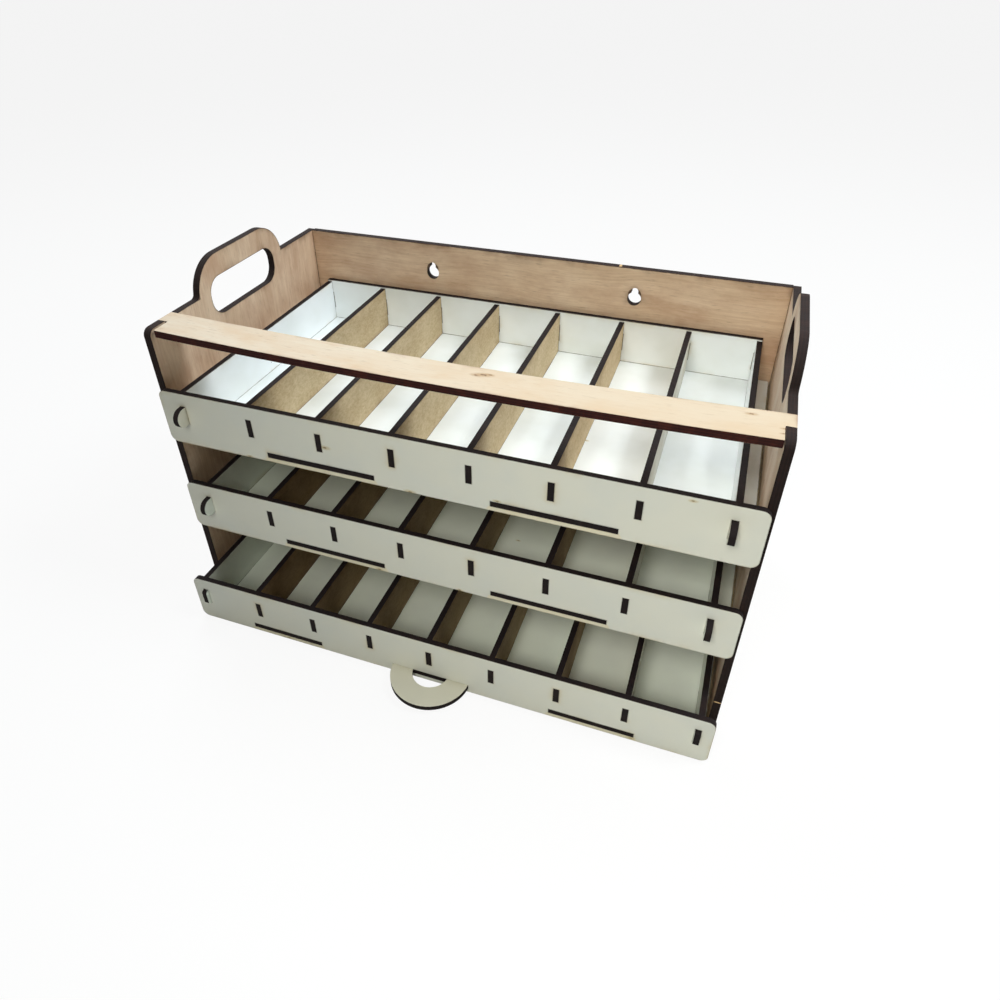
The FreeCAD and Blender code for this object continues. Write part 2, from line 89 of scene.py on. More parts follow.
def vector_calc(tree, operation, *terms):
    """The same for three numbers at once."""
    return add(tree, "VectorMath", dict(enumerate(terms)), operation=operation).outputs[0]


print("one node takes one line now")

# %% [markdown]
# Four more come back all the time. `ramp` turns one range of numbers into another, `blend` lays a
# colour over another by a mask, `stain` does so at a strength, `either` chooses by a mask.

# %% Helpers: ramp, blend, stain and either
def ramp(tree, source, low, high, start=0.0, end=1.0):
    """Turn source from low..high into start..end with soft ends, and hold it outside."""
    made = add(tree, "MapRange", {"Value": source, "From Min": low, "From Max": high,
                                  "To Min": start, "To Max": end}, interpolation_type="SMOOTHSTEP")
    return made.outputs["Result"]


def blend(tree, mask, under, over):
    """Lay the colour over on the colour under, where the mask is 1."""
    made = add(tree, "Mix", data_type="RGBA")
    for place, source in ((0, mask), (6, under), (7, over)):
        wire(tree, made.inputs[place], source)
    return made.outputs[2]


def stain(tree, mask, strength, under, over):
    """Lay over on under where the mask is 1, at a strength from 0 to 1."""
    return blend(tree, calc(tree, "MULTIPLY", mask, strength), under, over)


def either(tree, mask, where_0, where_1):
    """The number where_0 or where_1, as the mask is 0 or 1."""
    return add(tree, "Mix", {0: mask, 2: where_0, 3: where_1}).outputs[0]


print("ramps, blends and stains are ready")

# %% [markdown]
# A pattern is noise, read in a space that may be pulled out along one axis, and its colours are
# written as the eye sees them.

# %% Helpers: noise, stretch and colour
def noise(tree, position, scale, detail=4.0, rough=0.55):
    """Fractal noise between 0 and 1, about scale lumps to the metre."""
    made = add(tree, "TexNoise", {"Vector": position, "Scale": scale, "Detail": detail,
                                  "Roughness": rough})
    return made.outputs["Fac"]


def stretch(tree, position, factors):
    """Squeeze or pull the space that a pattern is read in, axis by axis."""
    return vector_calc(tree, "MULTIPLY", position, factors)


def colour(red, green, blue):
    """A colour written as the eye's 0-255 numbers, turned into the linear light of a shader."""
    share = np.array([red, green, blue]) / 255.0
    linear = np.where(share <= 0.04045, share / 12.92, ((share + 0.055) / 1.055) ** 2.4)
    return (*linear.tolist(), 1.0)


print("patterns ready; a mid grey of 128 is", round(colour(128, 128, 128)[0], 3), "in linear light")

# %% [markdown]
# ## Groups: one recipe, many boards
#
# Grain, fibres, burnt edges and scorch marks come back on many pieces. Each is a node group,
# which is built once and placed in each material with values of its own. A group has named
# inputs and outputs, and the inside sees them as two special nodes.

# %% A helper that opens a new node group
SOCKETS = {"value": "NodeSocketFloat", "vector": "NodeSocketVector", "colour": "NodeSocketColor"}
FACE_OUTPUTS = {"Colour": "colour", "Roughness": "value", "Height": "value"}


def new_group(name, inputs, outputs):
    """Start a group. inputs and outputs map a socket's name to value, vector or colour."""
    tree = bpy.data.node_groups.new(name, "ShaderNodeTree")
    for direction, sockets in (("INPUT", inputs), ("OUTPUT", outputs)):
        for socket, kind in sockets.items():
            tree.interface.new_socket(socket, in_out=direction, socket_type=SOCKETS[kind])
    return tree, tree.nodes.new("NodeGroupInput").outputs, tree.nodes.new("NodeGroupOutput").inputs


def place_group(tree, group, inputs):
    """Put a group into a material, fill its inputs and give back its outputs."""
    made = tree.nodes.new("ShaderNodeGroup")
    made.node_tree = group
    for name, source in inputs.items():
        wire(tree, made.inputs[name], source)
    return made.outputs


# %% [markdown]
# ### How far is a point from the cut?
#
# A laser heats the sheet beside its cut, so the marks depend on the distance to the nearest
# edge. For a rectangle with rounded corners that distance has a short formula. Shrink the
# rectangle by the corner radius, take how far the point lies outside the shrunken one in each
# direction, and subtract the radius from the length of that.

# %% Group: distance from a sheet's outline
def build_outline_group():
    """q = |point - centre| - half size + radius. Inside = radius - |max(q, 0)| - min(max q, 0)."""
    tree, given, result = new_group(
        "outline_distance",
        {"Position": "vector", "Centre": "vector", "Half Size": "vector", "Radius": "value"},
        {"Distance": "value"})
    offset = vector_calc(tree, "SUBTRACT", given["Position"], given["Centre"])
    past = vector_calc(tree, "SUBTRACT", vector_calc(tree, "ABSOLUTE", offset), given["Half Size"])
    q = add(tree, "SeparateXYZ", {0: past}).outputs
    q = [calc(tree, "ADD", q[axis], given["Radius"]) for axis in (0, 1)]
    outer = [calc(tree, "POWER", calc(tree, "MAXIMUM", term, 0.0), 2.0) for term in q]
    length = calc(tree, "SQRT", calc(tree, "ADD", *outer))
    inner = calc(tree, "MINIMUM", calc(tree, "MAXIMUM", *q), 0.0)
    inside = calc(tree, "SUBTRACT", calc(tree, "SUBTRACT", given["Radius"], length), inner)
    wire(tree, result["Distance"], calc(tree, "MULTIPLY", inside, MM))
    return tree


outline_group = build_outline_group()
print("built", outline_group.name)

# %% [markdown]
# The slots come in rows with an even pitch. Rather than one formula per slot, the point is
# moved to the nearest slot of the row: its place divided by the pitch, rounded, and kept
# between the first and the last. What is left over is the offset from that slot's middle.

# %% Group: distance from a row of slots
def build_slot_group():
    """Distance in mm from the nearest rectangle of an evenly spaced row, 0 inside it."""
    numbers = ("Along", "Up", "First", "Pitch", "Last", "Half Width", "Middle Up", "Half Height")
    tree, given, result = new_group("slot_distance", {n: "value" for n in numbers},
                                    {"Distance": "value"})
    start = calc(tree, "SUBTRACT", given["Along"], given["First"])
    turn = calc(tree, "ROUND", calc(tree, "DIVIDE", start, given["Pitch"]))
    turn = calc(tree, "MAXIMUM", calc(tree, "MINIMUM", turn, given["Last"]), 0.0)
    off = calc(tree, "SUBTRACT", start, calc(tree, "MULTIPLY", turn, given["Pitch"]))
    off_up = calc(tree, "SUBTRACT", given["Up"], given["Middle Up"])
    squares = []
    for away, half in ((off, given["Half Width"]), (off_up, given["Half Height"])):
        past = calc(tree, "SUBTRACT", calc(tree, "ABSOLUTE", away), half)
        squares.append(calc(tree, "POWER", calc(tree, "MAXIMUM", past, 0.0), 2.0))
    length = calc(tree, "SQRT", calc(tree, "ADD", *squares))
    wire(tree, result["Distance"], calc(tree, "MULTIPLY", length, MM))
    return tree


slot_group = build_slot_group()
print("built", slot_group.name)

# %% [markdown]
# ### Scorch marks
#
# Smoke leaves a stain that fades away from the cut. It isn't even: it flares where the beam
# slowed down or the air jet blew sideways. An exponential fade gives the first, and a low
# noise that scales the reach of the fade gives the second. Right at the cut there is also a
# hair-thin rim of char, which is what draws a dark line where one board stands on another.

# %% Group: scorch beside a cut
def build_scorch_group():
    """Mask = e to the power -(distance / reach), where noise makes the reach grow and shrink."""
    tree, given, result = new_group(
        "scorch", {"Position": "vector", "Distance": "value", "Reach": "value", "Patchy": "value"},
        {"Mask": "value", "Rim": "value"})
    broad = ramp(tree, noise(tree, given["Position"], scale=45.0, detail=3.0), 0.42, 0.7)
    fine = noise(tree, given["Position"], scale=420.0, rough=0.6)
    even = calc(tree, "SUBTRACT", 1.0, given["Patchy"])
    strength = calc(tree, "MULTIPLY_ADD", broad, given["Patchy"], even)
    reach = calc(tree, "MULTIPLY", given["Reach"], calc(tree, "ADD", strength, 0.02))
    outward = calc(tree, "MULTIPLY", given["Distance"], -1.0)
    fade = calc(tree, "EXPONENT", calc(tree, "DIVIDE", outward, reach))
    wire(tree, result["Mask"], calc(tree, "MULTIPLY", calc(tree, "MULTIPLY", fade, strength),
                                    ramp(tree, fine, 0.2, 0.6, 0.55, 1.0)))
    ragged = calc(tree, "MULTIPLY_ADD", fine, 0.5, calc(tree, "SUBTRACT", given["Distance"], 0.25))
    wire(tree, result["Rim"], ramp(tree, ragged, 0.42, 0.16))
    return tree


scorch_group = build_scorch_group()
print("built", scorch_group.name)

# %% [markdown]
# ### The face veneer of plywood
#
# The outer veneer is peeled from a birch log. It shows fine long streaks, wide soft bands where
# the knife crossed the year rings, and short dark pores. All three are noise read in a space
# that is pulled out along the grain. The groups take a position whose first axis is the grain.

# %% Group: peeled veneer
PORE_BROWN = colour(122, 88, 62)


def build_veneer_group():
    """Streaks, bands and pores: noise with a small scale along the grain and a big one across."""
    tree, given, result = new_group(
        "peeled_veneer", {"Position": "vector", "Pale": "colour", "Deep": "colour",
                          "Smoke": "colour", "Smoky": "value"},
        FACE_OUTPUTS)
    position = given["Position"]
    drift = add(tree, "TexNoise", {"Vector": stretch(tree, position, (1.0, 1.6, 1.0)),
                                   "Scale": 14.0, "Detail": 2.0})
    bend = stretch(tree, drift.outputs["Color"], (0.012, 0.012, 0.0))
    bent = vector_calc(tree, "ADD", position, bend)
    patterns = ((bent, 0.045, 800.0, 5.0, 0.7), (bent, 0.1, 60.0, 5.0, 0.6),
                (position, 0.1, 1500.0, 2.0, 0.5), (bent, 0.5, 52.0, 5.0, 0.66))
    streaks, bands, pores, cloud = (
        noise(tree, stretch(tree, space, (along, 1.0, 1.0)), scale, detail, rough)
        for space, along, scale, detail, rough in patterns)
    deepness = calc(tree, "ADD", ramp(tree, streaks, 0.34, 0.68, 0.05, 0.5),
                    ramp(tree, bands, 0.36, 0.68, 0.0, 0.45))
    wood = blend(tree, deepness, given["Pale"], given["Deep"])
    pore = ramp(tree, pores, 0.6, 0.74)
    wood = stain(tree, pore, 0.3, wood, PORE_BROWN)
    wire(tree, result["Colour"], stain(tree, ramp(tree, cloud, 0.38, 0.74), given["Smoky"], wood,
                                       given["Smoke"]))
    wire(tree, result["Height"], calc(tree, "SUBTRACT", calc(tree, "MULTIPLY", streaks, 0.7),
                                      calc(tree, "MULTIPLY", pore, 0.5)))
    wire(tree, result["Roughness"], ramp(tree, streaks, 0.2, 0.8, 0.62, 0.76))
    return tree


veneer_group = build_veneer_group()
print("built", veneer_group.name)

# %% [markdown]
# ### Knots
#
# A pin knot is a small dark eye that the grain flows around. A few are given one by one: the
# mask is the distance from the knot's middle, shorter across the grain, with noise on its rim.

# %% Group: a pin knot
def build_knot_group():
    """Rim and heart of an eye: distance from its middle, in a space squeezed along the grain."""
    tree, given, result = new_group(
        "pin_knot", {"Position": "vector", "Middle": "vector", "Radius": "value"},
        {"Rim": "value", "Heart": "value"})
    offset = vector_calc(tree, "SUBTRACT", given["Position"], given["Middle"])
    squeezed = stretch(tree, offset, (0.42, 1.0, 0.0))
    length = add(tree, "VectorMath", {0: squeezed}, operation="LENGTH").outputs["Value"]
    ragged = calc(tree, "MULTIPLY", noise(tree, given["Position"], scale=900.0, detail=3.0), 0.9)
    away = calc(tree, "ADD", calc(tree, "DIVIDE", length, given["Radius"]),
                calc(tree, "SUBTRACT", ragged, 0.45))
    wire(tree, result["Rim"], ramp(tree, away, 1.6, 0.5))
    wire(tree, result["Heart"], ramp(tree, away, 0.6, 0.2))
    return tree


knot_group = build_knot_group()
print("built", knot_group.name)

# %% [markdown]
# ### Raw fibreboard
#
# High-density fibreboard is pressed from fine brown fibres. Close by it is a tight speckle of
# light and dark hairs, and from afar a flat tan with slow clouds.

# %% Group: pressed fibres
BARK_BROWN = colour(104, 80, 54)


def build_fibre_group():
    """A fine speckle of hairs, coarser bundles and a slow cloud, mixed between two tans."""
    tree, given, result = new_group("pressed_fibres",
                                    {"Position": "vector", "Pale": "colour", "Deep": "colour"},
                                    {"Colour": "colour", "Height": "value"})
    position = given["Position"]
    hairs = noise(tree, stretch(tree, position, (0.45, 1.0, 1.0)), scale=1500.0, rough=0.65)
    bundles = noise(tree, stretch(tree, position, (0.6, 1.0, 1.0)), scale=620.0, rough=0.7)
    cloud = noise(tree, position, scale=48.0, detail=3.0)
    depth = calc(tree, "ADD", ramp(tree, hairs, 0.34, 0.66, 0.08, 0.34),
                 ramp(tree, bundles, 0.36, 0.66, 0.08, 0.34))
    depth = calc(tree, "ADD", depth, ramp(tree, cloud, 0.35, 0.65, 0.0, 0.26))
    tan = blend(tree, depth, given["Pale"], given["Deep"])
    bark = ramp(tree, bundles, 0.66, 0.76)
    wire(tree, result["Colour"], stain(tree, bark, 0.3, tan, BARK_BROWN))
    wire(tree, result["Height"], hairs)
    return tree


fibre_group = build_fibre_group()
print("built", fibre_group.name)

# %% [markdown]
# ### The white face
#
# One side of the board carries a thin white film. It is smooth, a little warm, and hides
# nothing: there are faint clouds, a soft orange-peel and here and there a speck of soot.

# %% Group: white film
FILM_CLOUD, FILM_SPECK = colour(226, 230, 226), colour(70, 60, 50)


def build_film_group():
    """White with a slow cloud, sparse soot specks from cells, and fine orange-peel height."""
    tree, given, result = new_group("white_film", {"Position": "vector", "White": "colour"},
                                    FACE_OUTPUTS)
    cloud = ramp(tree, noise(tree, given["Position"], scale=30.0, detail=3.0), 0.35, 0.75, 0.0, 0.5)
    film = blend(tree, cloud, given["White"], FILM_CLOUD)
    cells = add(tree, "TexVoronoi", {"Vector": given["Position"], "Scale": 70.0})
    chance = add(tree, "SeparateColor", {0: cells.outputs["Color"]}).outputs[0]
    speck = calc(tree, "LESS_THAN", cells.outputs["Distance"],
                 ramp(tree, chance, 0.86, 1.0, 0.0, 0.035))
    wire(tree, result["Colour"], stain(tree, speck, 0.7, film, FILM_SPECK))
    peel = noise(tree, given["Position"], scale=600.0, detail=2.0)
    wire(tree, result["Roughness"], ramp(tree, peel, 0.3, 0.7, 0.36, 0.46))
    wire(tree, result["Height"], peel)
    return tree


film_group = build_film_group()
print("built", film_group.name)

# %% [markdown]
# ### The burnt cut
#
# The beam goes straight through the sheet, so it leaves fine ridges from one face to the other.
# The char is nearly black, with brown where the beam was quick. On plywood the glue lines
# between the veneers burn differently and show as thin stripes along the edge.

# %% Group: burnt edge
FULL_TURN = 6.28318


def build_char_group():
    """Ridges: noise that hardly changes through the sheet. Stripes: a wave through the sheet."""
    tree, given, result = new_group(
        "burnt_edge", {"Position": "vector", "Depth": "value", "Char": "colour",
                       "Ember": "colour", "Plies": "value"},
        FACE_OUTPUTS)
    through = stretch(tree, given["Position"], (1.0, 1.0, 0.06))
    ridges = noise(tree, through, scale=1900.0, rough=0.65)
    patches = noise(tree, given["Position"], scale=150.0, rough=0.6)
    plies = calc(tree, "MULTIPLY", given["Depth"], given["Plies"])
    turns = calc(tree, "COSINE", calc(tree, "MULTIPLY", plies, FULL_TURN))
    wave = calc(tree, "MULTIPLY_ADD", turns, 0.5, 0.5)
    stripes = calc(tree, "MULTIPLY", ramp(tree, wave, 0.6, 1.0),
                   ramp(tree, given["Plies"], 0.0, 1.0))
    stripes = calc(tree, "MULTIPLY", stripes, 0.4)
    warm = calc(tree, "ADD", ramp(tree, ridges, 0.45, 0.8, 0.0, 0.5),
                ramp(tree, patches, 0.45, 0.7, 0.0, 0.5))
    warm = calc(tree, "MINIMUM", calc(tree, "ADD", warm, stripes), 1.0)
    wire(tree, result["Colour"], blend(tree, warm, given["Char"], given["Ember"]))
    wire(tree, result["Roughness"], ramp(tree, ridges, 0.3, 0.7, 0.7, 0.86))
    wire(tree, result["Height"], calc(tree, "SUBTRACT", ridges, stripes))
    return tree


char_group = build_char_group()
print("built", char_group.name)

# %% [markdown]
# ## From groups to a finish
#
# Every piece is a flat sheet, so one way of looking at it serves them all: which way is through
# the sheet, and which way the grain runs. `sheet_view` turns the object's coordinates into
# along, across and through, finds which face a point is on from its normal, and adds a shift
# of its own for each board so that no two show the same pattern.

# %% The view of one sheet
SHIFT_REACH = 3.0
BOARD_SHIFTS = np.random.default_rng(7).uniform(-SHIFT_REACH, SHIFT_REACH, (len(parts), 3))
BOARD_NUMBER = {name: number for number, name in enumerate(sorted(parts))}


def new_material(name):
    """An empty node material with its output."""
    material = bpy.data.materials.new(name)
    material.use_nodes = True
    material.node_tree.nodes.clear()
    return material, material.node_tree


def sheet_view(tree, name, low, high, through, grain, corner=0.0):
    """Along, across and through as sockets, and the distance from the box low..high as outline."""
    across = next(axis for axis in "xyz" if axis not in (through, grain))
    order = [AXES[grain], AXES[across], AXES[through]]
    source = add(tree, "TexCoord")
    place = add(tree, "SeparateXYZ", {0: source.outputs["Object"]}).outputs
    normal = add(tree, "SeparateXYZ", {0: source.outputs["Normal"]}).outputs
    turned = add(tree, "CombineXYZ", {n: place[axis] for n, axis in enumerate(order)}).outputs[0]
    shift = BOARD_SHIFTS[BOARD_NUMBER[name]].tolist()
    middle = [(low[axis] + high[axis]) / 2 for axis in order]
    half = [(high[axis] - low[axis]) / 2 for axis in order]
    inward = calc(tree, "SUBTRACT", place[AXES[through]], low[AXES[through]])
    facing = normal[AXES[through]]
    outline = place_group(tree, outline_group, {
        "Position": turned, "Centre": middle, "Half Size": half, "Radius": corner})["Distance"]
    return {"place": place, "turned": turned, "facing": facing,
            "own": vector_calc(tree, "ADD", turned, shift),
            "depth": calc(tree, "DIVIDE", inward, 2 * half[2]),
            "is_edge": calc(tree, "LESS_THAN", calc(tree, "ABSOLUTE", facing), 0.5),
            "outline": calc(tree, "ABSOLUTE", outline)}


def finish_shader(tree, base, roughness, height, relief):
    """The surface itself: one Principled shader with a bump that is relief metres deep."""
    bump = add(tree, "Bump", {"Height": height, "Strength": 1.0, "Distance": relief})
    surface = add(tree, "BsdfPrincipled", {"Base Color": base, "Roughness": roughness,
                                           "Specular IOR Level": 0.2, "Normal": bump.outputs[0]})
    add(tree, "OutputMaterial", {"Surface": surface.outputs[0]})


def finish_sheet(tree, view, face, roughness, height, relief, char, ember, plies=0.0):
    """The face where the normal points through the sheet, and everywhere else the burnt cut."""
    cut = place_group(tree, char_group, {"Position": view["own"], "Depth": view["depth"],
                                         "Char": char, "Ember": ember, "Plies": plies})
    finish_shader(tree, blend(tree, view["is_edge"], face, cut["Colour"]),
                  either(tree, view["is_edge"], roughness, cut["Roughness"]),
                  either(tree, view["is_edge"], height, cut["Height"]), relief)


def smoke_beside(tree, view, distance, reach, patchy):
    """The scorch group with its mask and rim, for a distance in millimetres from the cut."""
    return place_group(tree, scorch_group, {"Position": view["own"], "Distance": distance,
                                            "Reach": reach, "Patchy": patchy})


def trimmed(name, low_trim, high_trim=(0, 0, 0)):
    """A piece's box in metres without its tabs, whose lengths are given in millimetres."""
    low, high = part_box(name)
    return ([low[axis] + low_trim[axis] / MM for axis in range(3)],
            [high[axis] - high_trim[axis] / MM for axis in range(3)])


def dress(name, material):
    """Give a solid piece its material."""
    slots = parts[name].data.materials
    slots.clear()
    slots.append(material)


print("the first board's own shift:", BOARD_SHIFTS[0].round(2).tolist())

# %% [markdown]
# ## Plywood: side panels and back panel
#
# The frame's plywood is tan with a reddish cast of smoke, which is darkest along every cut. On
# the side panels the grain stands upright, on the back panel it lies along. The right side
# panel is painted paler than the left one: painted light on its inner face. A side panel's
# outline is a plate joined with a grip, less a hand hole: the larger of two distances, and then
# the smaller of that and the distance from the hole.

# %% The outlines of the plywood panels
# Each is a middle, a half size and a corner radius in metres, along the grain and then across.
PLATE = (0.09075, 0.0), (0.09075, 0.079), 0.004
GRIP = (0.150, 0.0), (0.050, 0.039), 0.020
HAND_HOLE = (0.1774, 0.0), (0.0104, 0.030), 0.009
KEYHOLE_HEADS = [((side, 0.1645), (0.0035, 0.005), 0.0035) for side in (-0.0635, 0.0635)]


def rounded(tree, turned, middle, half, radius):
    """Distance inside a rounded rectangle; it is negative outside."""
    return place_group(tree, outline_group, {
        "Position": turned, "Centre": (*middle, 0.0), "Half Size": (*half, 1.0),
        "Radius": radius})["Distance"]


def side_panel_cuts(tree, view):
    """Plate or grip, less the hand hole. The first axis is upward, the second is depth."""
    plate, grip, hole = (rounded(tree, view["turned"], *shape)
                         for shape in (PLATE, GRIP, HAND_HOLE))
    return calc(tree, "MINIMUM", calc(tree, "MAXIMUM", plate, grip),
                calc(tree, "MULTIPLY", hole, -1.0))


def back_panel_cuts(tree, view):
    """The outline without its tabs, less the two keyholes' heads."""
    nearest = view["outline"]
    for head in KEYHOLE_HEADS:
        outside = calc(tree, "MULTIPLY", rounded(tree, view["turned"], *head), -1.0)
        nearest = calc(tree, "MINIMUM", nearest, outside)
    return nearest


print("panel outlines with", len(KEYHOLE_HEADS), "keyholes")

# %% Finish: smoked plywood
SMOKED_TONES = colour(241, 216, 189), colour(211, 179, 148), colour(192, 150, 121)
# Paler tones of the right side panel: painted light on its inner face.
LIT_RIGHT_PANEL_TONES = colour(253, 240, 224), colour(234, 212, 188), colour(218, 188, 164)
PLY_CHAR, PLY_EMBER = colour(24, 15, 14), colour(44, 28, 24)
PLY_STAIN, PLY_RIM = colour(104, 62, 40), colour(52, 32, 24)
PLIES = 3.0
PLY_RELIEF = 0.00012


def finish_plywood(name, through, grain, low, high, cuts, tones):
    """Veneer on the faces, burnt plies on the edges, and smoke beside the cuts."""
    material, tree = new_material(f"plywood_{name}")
    view = sheet_view(tree, name, low, high, through, grain)
    veneer = place_group(tree, veneer_group, {"Position": view["own"], "Pale": tones[0],
                                              "Deep": tones[1], "Smoke": tones[2], "Smoky": 0.62})
    smoke = smoke_beside(tree, view, cuts(tree, view), reach=2.4, patchy=0.8)
    face = stain(tree, smoke["Mask"], 0.75, veneer["Colour"], PLY_STAIN)
    face = stain(tree, smoke["Rim"], 0.8, face, PLY_RIM)
    finish_sheet(tree, view, face, veneer["Roughness"], veneer["Height"], PLY_RELIEF,
                 PLY_CHAR, PLY_EMBER, PLIES)
    dress(name, material)


# The right side panel's paler tones are painted light.
for side_panel, tones in (("left_side_panel", SMOKED_TONES), ("right_side_panel", LIT_RIGHT_PANEL_TONES)):
    finish_plywood(side_panel, "x", "z", *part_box(side_panel), side_panel_cuts, tones)
without_tabs = trimmed("back_panel", (4, 0, 0), (4, 0, 0))
finish_plywood("back_panel", "y", "x", *without_tabs, back_panel_cuts, SMOKED_TONES)
print("the plywood panels are finished")

# %% [markdown]
# ## Fibreboard: trays, runners and base plate
#
# Tray boards are white on one side and raw brown on the other. Which side is white follows from
# how the sheet was laid on the laser: fronts outward, floors upward, end walls inward, and every
# divider with its white side to the left, except the last one of each tray, which was put in
# the other way round. The normal's sign tells the shader which side it is on. The finger ears
# of the top tray have been handled, and their film is duller. The pull ring at the bottom
# tray's front has a duller film too, and there it is painted shade.
#
# Some of these tones aren't the boards' own. Five lamps can't give every shade of a real room,
# so a part of it is painted: in the two lower trays the raw faces are browner, most of all at
# the left, and their film is a little warmer. The fronts have a greyer, warmer white than the
# other boards' film. The last divider of each tray and the pull ring have a duller film.

# %% The colours of the tray boards
BOARD_PALE, BOARD_DEEP = colour(216, 198, 164), colour(167, 143, 106)
SHADED_PALE, SHADED_DEEP = colour(150, 121, 84), colour(110, 83, 54)
BOARD_CHAR, BOARD_EMBER = colour(22, 15, 16), colour(38, 26, 24)
BOARD_STAIN, BOARD_RIM = colour(96, 66, 40), colour(70, 54, 40)
FILM_WHITE, WARM_WHITE = colour(246, 250, 252), colour(243, 250, 240)
# Painted shade: the fronts' greyer white, and the duller white of the pull ring and the lower
# trays' last dividers, which also stands on the handled finger ears.
SHADED_FRONT_WHITE, HANDLED_AND_SHADED_WHITE = colour(236, 236, 225), colour(216, 213, 197)
# The first white on this line, for the top tray's last divider, is painted shade.
SHADED_LAST_WHITE, HEATED_CREAM = colour(180, 173, 155), colour(240, 228, 194)
FILM_STAIN, MARK_HALO = colour(206, 184, 132), colour(206, 188, 138)
MARK_BROWN, SOOT = colour(128, 100, 62), colour(58, 54, 46)
BOARD_RELIEF, DULLER_FADE = 0.00008, 0.002  # metres
print("board colours are ready")

# %% Finish: white-faced fibreboard
def between(first, second, share):
    """The colour that is this share of the way from the first to the second."""
    return tuple(a + (b - a) * share for a, b in zip(first, second))


def stained_film(tree, view, film, smoke, strip_at=None, handled_before=None, marks=(),
                 mark_heart=MARK_BROWN):
    """The film's colour: scorch, heated strip, flame marks, and a duller front end, painted shade
    on the pull ring.
    """
    tinted = stain(tree, smoke["Mask"], 0.55, film["Colour"], FILM_STAIN)
    if strip_at:
        both = calc(tree, "ADD", strip_at(tree, view), view["outline"])
        tinted = stain(tree, ramp(tree, both, 3.6, 2.6), 0.6, tinted, HEATED_CREAM)
    if handled_before is not None:
        handled = ramp(tree, view["place"]["Y"], handled_before + DULLER_FADE, handled_before)
        tinted = blend(tree, handled, tinted, HANDLED_AND_SHADED_WHITE)
    for place, size in marks:
        flame = place_group(tree, knot_group, {"Position": view["turned"],
                                               "Middle": (*place, 0.0), "Radius": size})
        tinted = stain(tree, flame["Rim"], 0.6, tinted, MARK_HALO)
        tinted = stain(tree, flame["Heart"], 0.75, tinted, mark_heart)
    return tinted


def finish_fibreboard(name, through, grain, white_side, low, high, browns=(BOARD_PALE, BOARD_DEEP),
                      white=FILM_WHITE, corner=0.0, cut_distance=None, rim=0.75, **film_marks):
    """white_side is the sign of the normal on the white face, or 0 for a raw board."""
    material, tree = new_material(f"fibreboard_{name}")
    view = sheet_view(tree, name, low, high, through, grain, corner)
    fibres = place_group(tree, fibre_group, {"Position": view["own"], "Pale": browns[0],
                                             "Deep": browns[1]})
    film = place_group(tree, film_group, {"Position": view["own"], "White": white})
    cuts = view["outline"]
    if cut_distance:
        cuts = calc(tree, "MINIMUM", cuts, cut_distance(tree, view))
    smoke = smoke_beside(tree, view, cuts, reach=1.3, patchy=0.95)
    whiteness = calc(tree, "MULTIPLY", view["facing"], float(white_side))
    is_white = calc(tree, "GREATER_THAN", whiteness, 0.5)
    face = blend(tree, is_white, stain(tree, smoke["Mask"], 0.6, fibres["Colour"], BOARD_STAIN),
                 stained_film(tree, view, film, smoke, **film_marks))
    face = stain(tree, smoke["Rim"], rim, face, BOARD_RIM)
    roughness = either(tree, is_white, 0.78, film["Roughness"])
    height = either(tree, is_white, fibres["Height"], calc(tree, "MULTIPLY", film["Height"], 0.25))
    finish_sheet(tree, view, face, roughness, height, BOARD_RELIEF, BOARD_CHAR, BOARD_EMBER)
    dress(name, material)


print("fibreboard finish is ready")

# %% [markdown]
# The panels' slots come in rows. Each of these two helpers gives back a function, because the
# distance has to be built inside the material that will use it.

# %% Helpers: rows of slots
def row_of_slots(first, pitch, last, half_width, middle_up, half_height):
    """The distance to a row of slots, as a function that finish_fibreboard calls."""
    def build(tree, view):
        return place_group(tree, slot_group, {
            "Along": view["place"]["X"], "Up": view["place"]["Z"], "First": first, "Pitch": pitch,
            "Last": last, "Half Width": half_width, "Middle Up": middle_up,
            "Half Height": half_height})["Distance"]
    return build


def nearest_of(first, second):
    """The smaller of two such distances."""
    return lambda tree, view: calc(tree, "MINIMUM", first(tree, view), second(tree, view))


print("a row's distance, or the nearer of two, is one call")

# %% [markdown]
# A few flame marks are listed for each front panel, where the beam started or ended a cut.
# Each is a place along and up the panel, and a radius. Two floors have specks of soot. The
# narrow strip between a long slot and the panel's lower edge took heat from both cuts and
# turned cream: there the two distances add up to little more than the strip's width.

# %% The slots and marks of a tray
SHEET = 0.003
FRONT_CORNER = 0.004
SLOT_HALF, WALL_TAB_HALF = 0.0016, 0.0052
FLOOR_TABS = {7: (0.0600, 0.0301), 8: (0.0903, 0.0226)}  # by spaces: middle and half width
FRONT_MARKS = {
    "top": [((-0.0553, 0.1351), 0.0011), ((-0.011, 0.1190), 0.0012), ((0.0806, 0.1223), 0.0012),
            ((0.0334, 0.1250), 0.0008), ((0.1188, 0.1478), 0.0007), ((-0.1015, 0.1192), 0.0008)],
    "middle": [((-0.0335, 0.0602), 0.0009), ((0.0131, 0.0601), 0.0008), ((0.0888, 0.0640), 0.0006)],
    "bottom": [((0.1116, 0.0022), 0.0008), ((-0.0900, 0.0018), 0.0006)]}
FLOOR_SPECKS = {"top": [((0.0600, -0.0191), 0.0007)], "middle": [((0.0318, -0.0412), 0.0005)],
                "bottom": []}


